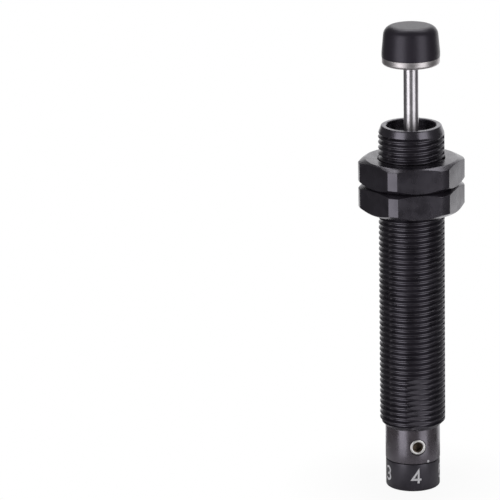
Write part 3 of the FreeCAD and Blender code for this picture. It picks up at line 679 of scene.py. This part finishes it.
def ribbon(skin, line, width):
    """A flat strip of even width along a line, with mitred bends."""
    line = [Vector(point) for point in line]
    edges = []
    for place, here in enumerate(line):
        back = (here - line[max(place - 1, 0)]).normalized()
        ahead = (line[min(place + 1, len(line) - 1)] - here).normalized()
        along = (back + ahead).normalized()
        mitre = 1 / max(along.dot(ahead if ahead.length else back), 0.35)
        aside = Vector((-along.y, along.x)) * width / 2 * mitre
        edges.append([skin.verts.new((*(here + way * aside), 0)) for way in (-1, 1)])
    for (low, high), (low_after, high_after) in zip(edges, edges[1:]):
        skin.faces.new((low, low_after, high_after, high))


def wrapped(name, glyph, radius, side, foot, height):
    """Bend a stroked figure round a cylinder. Side is in degrees from the front to the right."""
    skin = bmesh.new()
    for line in DIGIT_STROKES[glyph]:
        ribbon(skin, line, DIGIT_STROKE)
    for step in range(-8, 9):
        everything = list(skin.verts) + list(skin.edges) + list(skin.faces)
        place = (step * DIGIT_SLICE, 0, 0)
        bmesh.ops.bisect_plane(skin, geom=everything, plane_co=place, plane_no=(1, 0, 0))
    raised = bmesh.ops.extrude_face_region(skin, geom=list(skin.faces))
    for vert in raised["geom"]:
        if isinstance(vert, bmesh.types.BMVert):
            vert.co.z = 1
    middle = math.radians(side - 90)
    line_height = height / (1 + DIGIT_STROKE)
    for vert in skin.verts:
        angle = middle + vert.co.x * line_height / radius
        out = (radius + (DIGIT_PROUD if vert.co.z > 0 else -DIGIT_PROUD)) * MM
        level = foot + (vert.co.y + DIGIT_STROKE / 2) * line_height
        vert.co = (out * math.cos(angle), out * math.sin(angle), level * MM)
    mesh = bpy.data.meshes.new(name)
    skin.to_mesh(mesh)
    skin.free()
    piece = bpy.data.objects.new(name, mesh)
    bpy.context.scene.collection.objects.link(piece)
    weld(piece)
    return piece


for place, glyph in enumerate(DIGITS):
    side = DIGIT_FIRST - DIGIT_STEP * place
    figure = wrapped(f"dial_number_{glyph}", glyph, DIAL_RADIUS, side, DIGIT_FOOT, DIGIT_HEIGHT)
    wear(figure, mark)
    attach(figure, "dial")

# Lock screw.
# An M3 set screw of bright steel with a hexagon socket. Its dog point runs in the spindle's groove
# and clamps the dial's setting.

SCREW_OUT = 4.92
SCREW_TIP = 2.3
SCREW_RADIUS = 1.46
SCREW_RIM_ROUND = 0.22
SCREW_TIP_ROUND = 0.1
POINT_RADIUS = 0.75
POINT_LENGTH = 0.8
SOCKET_HALF = 0.75
SOCKET_MOUTH = 0.95
SOCKET_MOUTH_ROUND = 0.2
SOCKET_MOUTH_DEPTH = 0.3
SOCKET_EDGE_DEPTH = 0.35
SOCKET_DEPTH = 1.3
SOCKET_POINT = 0.25
ZINC = (0.9, 0.88, 0.88)
# Dark colour for the inside of the hexagon socket: painted shade in the recess.
SOCKET_PAINTED_SHADE = (0.09, 0.07, 0.055)
SOCKET_SHADE_GRAIN = 0.3


def screw_outline(angle):
    """The screw's section at one angle, from its point up to the floor of the hexagon socket."""
    side = (angle % (math.pi / 3)) - math.pi / 6
    socket = SOCKET_HALF / math.cos(side)
    return filleted(
        [
            (0, SCREW_TIP),
            (POINT_RADIUS, SCREW_TIP, SCREW_TIP_ROUND),
            (POINT_RADIUS, SCREW_TIP + POINT_LENGTH),
            (SCREW_RADIUS, SCREW_TIP + POINT_LENGTH, SCREW_TIP_ROUND),
            (SCREW_RADIUS, SCREW_OUT, SCREW_RIM_ROUND),
            (SOCKET_MOUTH, SCREW_OUT, SOCKET_MOUTH_ROUND),
            (SOCKET_MOUTH, SCREW_OUT - SOCKET_MOUTH_DEPTH),
            (socket, SCREW_OUT - SOCKET_EDGE_DEPTH),
            (socket, SCREW_OUT - SOCKET_DEPTH),
            (0, SCREW_OUT - SOCKET_DEPTH - SOCKET_POINT),
        ]
    )


screw = turned("set_screw", screw_outline, closed=False)
zinc = bare_steel("bright_zinc", ZINC, 0.38, 0.002)
wear(screw, zinc)
# The socket's inside gets its own dark finish: painted shade in the recess.
socket_shade = Finish("painted_shade_socket", SOCKET_PAINTED_SHADE, 0.45, metallic=1.0)
socket_shade_grain = socket_shade.effect(GRAIN, Size=SOCKET_SHADE_GRAIN)
socket_shade.feed("Roughness", spread(socket_shade.tree, socket_shade_grain, 0.3, 0.7, 0.35, 0.6))
screw.data.materials.append(socket_shade.material)
for face in screw.data.polygons:
    across, along, level = face.center / MM
    if math.hypot(across, along) < SOCKET_MOUTH and level > SCREW_OUT - SOCKET_DEPTH - SOCKET_POINT:
        face.material_index = 1
screw.data.transform(OUTWARD)
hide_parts("lock_screw")
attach(screw, "lock_screw")

# Index dot.
# A small light mark stamped on the collar, which the dial's numbers are read against.

DOT_SIDE = math.radians(34.3 - 90)
DOT_LEVEL = 5.66
DOT_RADIUS = 0.24
DOT_FOOT = 4.96
DOT_FACE = 5.01
DOT_CROWN = 5.015
DOT_ROUND = 0.03
DOT_OUTLINE = filleted(
    [(0, DOT_FOOT), (DOT_RADIUS, DOT_FOOT), (DOT_RADIUS, DOT_FACE, DOT_ROUND), (0, DOT_CROWN)]
)
dot = turned("index_dot", lambda angle: DOT_OUTLINE, all_round(32), closed=False)
dot.data.transform(Matrix.Rotation(math.pi / 2, 4, "Y"))
dot.data.transform(Matrix.Translation((0, 0, DOT_LEVEL * MM)) @ Matrix.Rotation(DOT_SIDE, 4, "Z"))
wear(dot, mark)
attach(dot, "housing")

# Piston rod.
# Hardened steel, ground and polished. It carries the piston at the bottom and the cap's seat on
# its plain upper end.

ROD_RADIUS = 1.35
ROD_NECK = 0.9
ROD_GROOVE = 0.65
ROD_ROUND = 0.15
ROD_STEEL = (0.66, 0.635, 0.67)
GRIND_STRETCH = 0.5
GRIND_TURN = 0.25
ROD_FOOT, ROD_TOP = (corner.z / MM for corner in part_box("piston_rod"))
CLIP_FOOT, CLIP_TOP = (corner.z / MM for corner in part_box("piston_clip"))
PISTON_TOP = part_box("piston")[1].z / MM
ROD_OUTLINE = filleted(
    [
        (0, ROD_FOOT),
        (ROD_NECK, ROD_FOOT, ROD_ROUND),
        (ROD_NECK, CLIP_FOOT),
        (ROD_GROOVE, CLIP_FOOT),
        (ROD_GROOVE, CLIP_TOP),
        (ROD_NECK, CLIP_TOP),
        (ROD_NECK, PISTON_TOP),
        (ROD_RADIUS, PISTON_TOP),
        (ROD_RADIUS, ROD_TOP, ROD_ROUND),
        (0, ROD_TOP),
    ]
)
rod = turned("polished_rod", lambda angle: ROD_OUTLINE, closed=False)
polished = bare_steel("polished_rod", ROD_STEEL, 0.38, 0.0003, 0.05)
polished.shader.inputs["Anisotropic"].default_value = GRIND_STRETCH
polished.shader.inputs["Anisotropic Rotation"].default_value = GRIND_TURN
ground = polished.tree.nodes.new("ShaderNodeTangent")
ground.direction_type = "RADIAL"
ground.axis = "Z"
join(polished.tree, (ground, 0), (polished.shader, "Tangent"))
wear(rod, polished)
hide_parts("piston_rod")
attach(rod, "plunger")

# Cap seat.
# A turned disc of bright steel pressed on the rod's end, with a barbed stud that the bumper snaps
# over.

SEAT_RADIUS = 5.2
SEAT_TOP = 80.76
SEAT_ROUND = 0.55
SEAT_LIP_ROUND = 0.05
SEAT_COLUMNS = 128
SEAT_STEEL = (0.62, 0.585, 0.6)
SEAT_FOOT, STUD_TOP = (corner.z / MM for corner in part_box("cap_seat"))
STUD_RADIUS = 2.0
STUD_TIP = 1.6
STUD_ROUND = 0.1
BARB_RADIUS = 2.4
BARB_FOOT = STUD_TOP - 1.3
BARB_ROUND = 0.06
SEAT_OUTLINE = filleted(
    [
        (ROD_RADIUS, SEAT_FOOT),
        (SEAT_RADIUS, SEAT_FOOT, SEAT_ROUND),
        (SEAT_RADIUS, SEAT_TOP, SEAT_LIP_ROUND),
        (STUD_RADIUS, SEAT_TOP),
        (STUD_RADIUS, BARB_FOOT),
        (BARB_RADIUS, BARB_FOOT, BARB_ROUND),
        (STUD_TIP, STUD_TOP, STUD_ROUND),
        (0, STUD_TOP),
        (0, ROD_TOP),
        (ROD_RADIUS, ROD_TOP),
    ],
    steps=8,
)
seat = turned("rod_end_seat", lambda angle: SEAT_OUTLINE, all_round(SEAT_COLUMNS))
bright = bare_steel("bright_steel", SEAT_STEEL, 0.42, 0.002)
wear(seat, bright)
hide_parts("cap_seat")
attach(seat, "plunger")

# Bumper cap.
# A moulded cap of hard elastomer, tapered and rounded at the top, that softens the first touch of
# the load.

CAP_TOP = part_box("bumper_cap")[1].z / MM
CAP_SKIRT = 5.25
CAP_SKIRT_TOP = SEAT_TOP + 0.9
CAP_SHOULDER = 4.8
CAP_SHOULDER_TOP = CAP_TOP - 0.05
CAP_CROWN = 3.0
CAP_FOOT_ROUND = 0.12
CAP_SKIRT_ROUND = 3.0
CAP_SHOULDER_ROUND = 1.75
CAP_CROWN_ROUND = 6.0
CAP_COLUMNS = 128
ELASTOMER = (0.023, 0.0195, 0.027)
ELASTOMER_DARK = (0.0175, 0.015, 0.021)
MOULD_GRAIN = 0.25
MOULD_DEPTH = 0.004
MOULD_CLOUD = 3.0
CAP_OUTLINE = filleted(
    [
        (STUD_RADIUS, SEAT_TOP),
        (CAP_SKIRT, SEAT_TOP, CAP_FOOT_ROUND),
        (CAP_SKIRT, CAP_SKIRT_TOP, CAP_SKIRT_ROUND),
        (CAP_SHOULDER, CAP_SHOULDER_TOP, CAP_SHOULDER_ROUND),
        (CAP_CROWN, CAP_TOP, CAP_CROWN_ROUND),
        (0, CAP_TOP),
        (0, STUD_TOP),
        (STUD_TIP, STUD_TOP),
        (BARB_RADIUS, BARB_FOOT),
        (STUD_RADIUS, BARB_FOOT),
    ],
    steps=10,
)
cap = turned("soft_cap", lambda angle: CAP_OUTLINE, all_round(CAP_COLUMNS))
elastomer = Finish("bumper_elastomer", ELASTOMER, 0.38)
elastomer.shader.inputs["Specular Tint"].default_value = (*BLACK_SHEEN, 1)
mould_grain = elastomer.effect(GRAIN, Size=MOULD_GRAIN)
mould_cloud = elastomer.effect(GRAIN, Size=MOULD_CLOUD)
mottle = spread(elastomer.tree, mould_cloud, 0.3, 0.7)
elastomer.feed("Base Color", elastomer.blend(mottle, ELASTOMER_DARK, ELASTOMER))
elastomer.feed("Roughness", spread(elastomer.tree, mould_grain, 0.3, 0.7, 0.33, 0.42))
elastomer.bump((mould_grain, MOULD_DEPTH))
wear(cap, elastomer)
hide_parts("bumper_cap")
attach(cap, "plunger")

# Mounting nuts.
# Two thin hexagon nuts of blackened bar steel, jammed against each other. Their corners are turned
# down, both faces are chamfered and the thread is countersunk.

NUT_ACROSS = 17.5
NUT_CORNER = 9.625
NUT_FACE = 8.5
NUT_SLOPE = math.tan(math.radians(36))
NUT_UPPER_FACE = 8.3
NUT_UPPER_SLOPE = math.tan(math.radians(22))
NUT_SINK = 6.2
NUT_GAP = 0.05
NUT_MINOR = 5.47
NUT_MAJOR = 6.03
NUT_FACE_ROUND = 0.25
NUT_SIDE_ROUND = 0.1
NUT_SIDE_STEPS = 14
NUT_FINE = 0.1
NUT_CREASE = 20
nut_black = black_oxide("black_nut", 1.8, 0.27, 0.0003, 0.0003)


def nut_angles(turn):
    """Angles round a nut, with columns where each flat side ends and its rounded corner starts."""
    flat = math.acos(NUT_ACROSS / 2 / NUT_CORNER)
    angles = []
    for side in range(6):
        middle = turn + math.pi / 6 + side * math.pi / 3
        angles += [middle + flat * (2 * step / NUT_SIDE_STEPS - 1) for step in range(NUT_SIDE_STEPS + 1)]
        angles += [middle + flat + (math.pi / 3 - 2 * flat) * step / 4 for step in (1, 2, 3)]
    return angles


def nut_outline(angle, foot, top, turn):
    """A nut's section: its hexagon between two chamfers, and a thread that fits the tube's."""
    side = (angle - turn) % (math.pi / 3) - math.pi / 6
    reach = min(NUT_ACROSS / 2 / math.cos(side), NUT_CORNER)
    rise = (reach - NUT_FACE) * NUT_SLOPE
    drop = (reach - NUT_UPPER_FACE) * NUT_UPPER_SLOPE
    outer = filleted(
        [
            (NUT_SINK, foot),
            (NUT_FACE, foot, NUT_FACE_ROUND),
            (reach, foot + rise, NUT_SIDE_ROUND),
            (reach, top - drop, NUT_SIDE_ROUND),
            (NUT_UPPER_FACE, top, NUT_FACE_ROUND),
            (NUT_SINK, top),
        ]
    )
    inner = []
    for level, radius in reversed(thread_rows(foot, top, NUT_FINE)):
        level = min(max(level + thread_lead(angle), foot), top)
        sink = NUT_SINK - min(level - foot, top - level)
        inner.append((max(min(max(radius + NUT_GAP, NUT_MINOR), NUT_MAJOR), sink), level))
    return outer + inner


def make_nut(name, node, turn):
    """Make one nut on its node, with a corner turned by some degrees from the X axis."""
    low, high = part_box(node)
    foot, top, turn = low.z / MM, high.z / MM, math.radians(turn)
    nut = turned(name, lambda angle: nut_outline(angle, foot, top, turn), nut_angles(turn))
    weld(nut, NUT_CREASE)
    wear(nut, nut_black)
    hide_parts(node)
    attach(nut, node)


make_nut("upper_jam_nut", "front_nut", 9.3)
make_nut("lower_jam_nut", "rear_nut", 10.1)

# Floor, light and camera.
# A small round pale floor, a tall soft box at the left and right in front, three small ones high
# behind, and a bright backdrop. The camera looks down on the front from a long way off.

WHITE = (0.9, 0.9, 0.9)
FLOOR_RADIUS = 26
FLOOR_FOOT, FLOOR_TOP = -2, -0.02
FLOOR_FADE = (0.35 * FLOOR_RADIUS * MM, 0.95 * FLOOR_RADIUS * MM)
FLOOR_SEEN = (0.93, 1.0)
ROOM = 0.1
BACKDROP = 1.3
BACKDROP_MIDDLE = 0.125
BACKDROP_SIDE = (0.725, 0.475)
BACKDROP_FRONT = (0.35, 0.6)
BACKDROP_ARCH = 0.8
BACKDROP_TOP = (0.65, 0.45)
LAMP_AWAY = 0.55
LAMP_AIM = Vector((0, 0, 0.045))
FLOOR_OUTLINE = [(0, FLOOR_FOOT), (FLOOR_RADIUS, FLOOR_FOOT), (FLOOR_RADIUS, FLOOR_TOP), (0, FLOOR_TOP)]
floor = turned("floor", lambda angle: FLOOR_OUTLINE, closed=False)
floor_material = bpy.data.materials.new("pale_floor")
floor_material.use_nodes = True
tree = floor_material.node_tree
paint = tree.nodes["Principled BSDF"]
paint.inputs["Base Color"].default_value = (*WHITE, 1)
paint.inputs["Roughness"].default_value = 0.9
glow = tree.nodes.new("ShaderNodeEmission")
path = tree.nodes.new("ShaderNodeLightPath")
mix = tree.nodes.new("ShaderNodeMixShader")
where = tree.nodes.new("ShaderNodeTexCoord")
span = tree.nodes.new("ShaderNodeVectorMath")
span.operation = "LENGTH"
join(tree, (where, "Object"), (span, 0))
fading = spread(tree, (span, "Value"), *FLOOR_FADE, *FLOOR_SEEN)
join(tree, math_node(tree, "MULTIPLY", (path, "Is Camera Ray"), fading), (mix, 0))
join(tree, (paint, 0), (mix, 1))
join(tree, (glow, 0), (mix, 2))
join(tree, (mix, 0), (tree.nodes["Material Output"], 0))
floor.data.materials.append(floor_material)

world = bpy.data.worlds.new("studio")
bpy.context.scene.world = world
world.use_nodes = True
tree = world.node_tree
sky = tree.nodes["Background"]
sky.inputs["Color"].default_value = (1, 1, 1, 1)
where = tree.nodes.new("ShaderNodeTexCoord")
parts = tree.nodes.new("ShaderNodeSeparateXYZ")
join(tree, (where, "Generated"), (parts, 0))
path = tree.nodes.new("ShaderNodeLightPath")
aside = math_node(tree, "ABSOLUTE", math_node(tree, "SUBTRACT", (parts, "X"), BACKDROP_MIDDLE))
beside = spread(tree, aside, *BACKDROP_SIDE)
behind = spread(tree, (parts, "Y"), *BACKDROP_FRONT)
arched = math_node(tree, "ADD", (parts, "Z"), math_node(tree, "MULTIPLY", aside, BACKDROP_ARCH))
low = spread(tree, arched, *BACKDROP_TOP)
backdrop = math_node(tree, "MULTIPLY", math_node(tree, "MULTIPLY", beside, behind), low)
studio = spread(tree, backdrop, 0, 1, ROOM, BACKDROP)
join(tree, spread(tree, (path, "Is Camera Ray"), 0, 1, studio, 1), (sky, "Strength"))


def soft_box(name, side, lift, width, height, strength):
    """A rectangular lamp that faces the object.

    Side is in degrees from the front towards the right, lift in degrees above the level, and
    strength is the lamp's radiance.
    """
    lamp = bpy.data.lights.new(name, "AREA")
    lamp.shape = "RECTANGLE"
    lamp.size, lamp.size_y = width, height
    lamp.energy = strength * math.pi * width * height
    holder = bpy.data.objects.new(name, lamp)
    turn, rise = math.radians(side - 90), math.radians(lift)
    away = Vector((math.cos(turn) * math.cos(rise), math.sin(turn) * math.cos(rise), math.sin(rise)))
    holder.location = LAMP_AIM + LAMP_AWAY * away
    holder.rotation_euler = (-away).to_track_quat("-Z", "Y").to_euler()
    holder.visible_camera = False
    bpy.context.scene.collection.objects.link(holder)


soft_box("left_box", -43, 2, 0.36, 0.9, 2.15)
soft_box("right_box", 46, 2, 0.34, 0.9, 1.8)
soft_box("left_shoulder", -133, 68, 0.24, 0.2, 1.15)
soft_box("right_shoulder", 135, 62, 0.24, 0.2, 1.75)
soft_box("back_box", 180, 52, 0.26, 0.26, 2.8)

PHOTO_SIDE = 500
AXIS_AT = (411.8, 250.0)
AXIS_LEAN = math.radians(0.30)
AXIS_LEVEL = 44.72
CAMERA_AWAY = 715.0
CAMERA_TILT = math.radians(16.2)
PIXELS_PER_MM = 5.51
SENSOR = 36.0
SEEN_FROM, SEEN_TO = 0.01, 50

focus = PIXELS_PER_MM * CAMERA_AWAY
eye = bpy.data.cameras.new("camera")
eye.sensor_width = SENSOR
eye.lens = focus * SENSOR / PHOTO_SIDE
eye.clip_start, eye.clip_end = SEEN_FROM, SEEN_TO
camera = bpy.data.objects.new("camera", eye)
bpy.context.scene.collection.objects.link(camera)
bpy.context.scene.camera = camera
target = Vector((0, 0, AXIS_LEVEL * MM))
camera.location = target + CAMERA_AWAY * MM * Vector((0, -math.cos(CAMERA_TILT), math.sin(CAMERA_TILT)))


def turned_frame(ahead, up):
    """Three square directions, the first along ahead, as the columns of a matrix."""
    ahead = ahead.normalized()
    up = (up - ahead * up.dot(ahead)).normalized()
    return Matrix((ahead, up, ahead.cross(up))).transposed()


seen = Vector((AXIS_AT[0] - PHOTO_SIDE / 2, PHOTO_SIDE / 2 - AXIS_AT[1], -focus))
lean = Vector((-math.sin(AXIS_LEAN), math.cos(AXIS_LEAN), 0))
turn = turned_frame(target - camera.location, Vector((0, 0, 1))) @ turned_frame(seen, lean).transposed()
camera.rotation_euler = turn.to_euler()

scene = bpy.context.scene
scene.view_settings.view_transform = "Standard"
